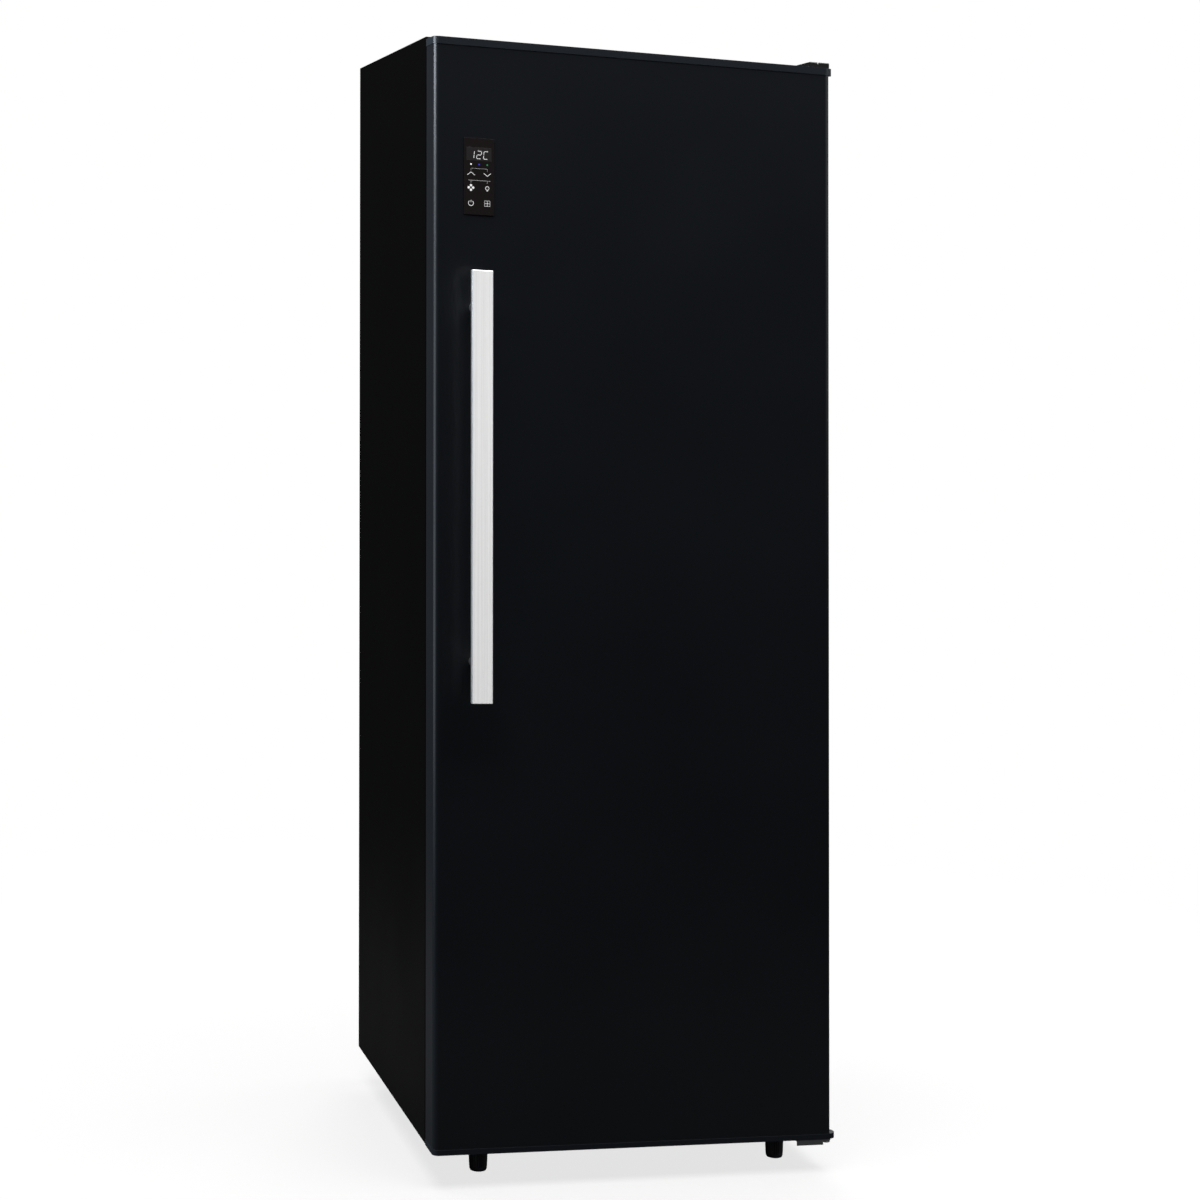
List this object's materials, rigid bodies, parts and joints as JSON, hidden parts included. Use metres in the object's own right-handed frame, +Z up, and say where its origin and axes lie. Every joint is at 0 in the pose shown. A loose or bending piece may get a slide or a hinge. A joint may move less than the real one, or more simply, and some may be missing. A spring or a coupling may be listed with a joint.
{
  "type": "wine cooler",
  "caption": "Full-height free-standing wine cooler with a solid hinged door, flat bar handle, touch panel, slatted shelves and a rear machine compartment.",
  "frame": {"origin": "centre of the object's footprint box, on the floor", "axes": "+Z up, -Y towards someone facing the door, +X to that person's right (the hinge side)"},
  "size_m": [0.6902, 0.719, 1.8634],
  "materials": {
    "cabinet_paint": "satin",
    "door_paint": "satin",
    "black_plastic": "satin",
    "liner_plastic": "satin",
    "foam": "matte",
    "shelf_wood": "satin",
    "seal_rubber": "matte",
    "zinc_steel": "satin",
    "handle_steel": "satin",
    "panel_glass": "gloss",
    "circuit_board": "satin",
    "lamp_plastic": "satin",
    "evaporator_metal": "satin",
    "compressor_paint": "satin",
    "copper": "satin"
  },
  "bodies": {
    "cabinet": {"air_filter_cap": "black_plastic", "back_panel": "cabinet_paint", "base_pan": "zinc_steel", "bottom_hinge_pin": "handle_steel", "bottom_hinge_plate": "zinc_steel", "compressor": "compressor_paint", "compressor_grommet_1": "seal_rubber", "compressor_grommet_2": "seal_rubber", "compressor_grommet_3": "seal_rubber", "compressor_grommet_4": "seal_rubber", "compressor_tray": "zinc_steel", "condenser_strip_left": "compressor_paint", "condenser_strip_right": "compressor_paint", "condenser_tube": "compressor_paint", "condenser_wires": "compressor_paint", "cord_gland": "seal_rubber", "discharge_pipe": "copper", "drip_tray": "black_plastic", "duct_cover": "black_plastic", "evaporator": "evaporator_metal", "fan_grille": "black_plastic", "fan_motor": "zinc_steel", "filter_drier": "copper", "front_frame": "liner_plastic", "hinge_washer": "handle_steel", "inner_liner": "liner_plastic", "insulation": "foam", "lamp_cover": "lamp_plastic", "outer_shell": "cabinet_paint", "rear_axle_left": "zinc_steel", "rear_axle_right": "zinc_steel", "shelf_1": "shelf_wood", "shelf_2": "shelf_wood", "shelf_3": "shelf_wood", "shelf_4": "shelf_wood", "shelf_5": "shelf_wood", "shelf_6": "shelf_wood", "starter_box": "black_plastic", "suction_pipe": "copper", "temperature_probe": "black_plastic", "top_hinge_cover": "black_plastic", "top_hinge_plate": "zinc_steel"},
    "door": {"door_skin": "door_paint", "door_top_cap": "black_plastic", "door_bottom_cap": "black_plastic", "door_foam": "foam", "door_liner": "liner_plastic", "door_gasket": "seal_rubber", "control_panel": "panel_glass", "control_board": "circuit_board", "handle_bar": "handle_steel", "handle_post_top": "handle_steel", "handle_post_bottom": "handle_steel"},
    "fan": {"fan_impeller": "black_plastic"},
    "roller_left": {"rear_roller_left": "black_plastic"},
    "roller_right": {"rear_roller_right": "black_plastic"},
    "foot_left": {"front_foot_left": "black_plastic", "front_foot_stem_left": "zinc_steel"},
    "foot_right": {"front_foot_right": "black_plastic", "front_foot_stem_right": "zinc_steel"}
  },
  "joints": [
    {"name": "door_hinge", "type": "hinge", "parent": "cabinet", "child": "door", "pos_m": [0.33165, -0.285, 0.056], "axis": [0, 0, 1], "range_deg": [0, 120]},
    {"name": "fan_spin", "type": "hinge", "parent": "cabinet", "child": "fan", "pos_m": [-0.00435, 0.236, 1.6965], "axis": [0, 1, 0], "continuous": true},
    {"name": "roller_left_spin", "type": "hinge", "parent": "cabinet", "child": "roller_left", "pos_m": [-0.28435, 0.2815, 0.026], "axis": [1, 0, 0], "continuous": true},
    {"name": "roller_right_spin", "type": "hinge", "parent": "cabinet", "child": "roller_right", "pos_m": [0.27565, 0.2815, 0.026], "axis": [1, 0, 0], "continuous": true},
    {"name": "foot_left_turn", "type": "hinge", "parent": "cabinet", "child": "foot_left", "pos_m": [-0.24835, -0.2035, 0], "axis": [0, 0, 1], "range_deg": [-2400, 480]},
    {"name": "foot_right_turn", "type": "hinge", "parent": "cabinet", "child": "foot_right", "pos_m": [0.26865, -0.2035, 0], "axis": [0, 0, 1], "range_deg": [-2400, 480]}
  ]
}
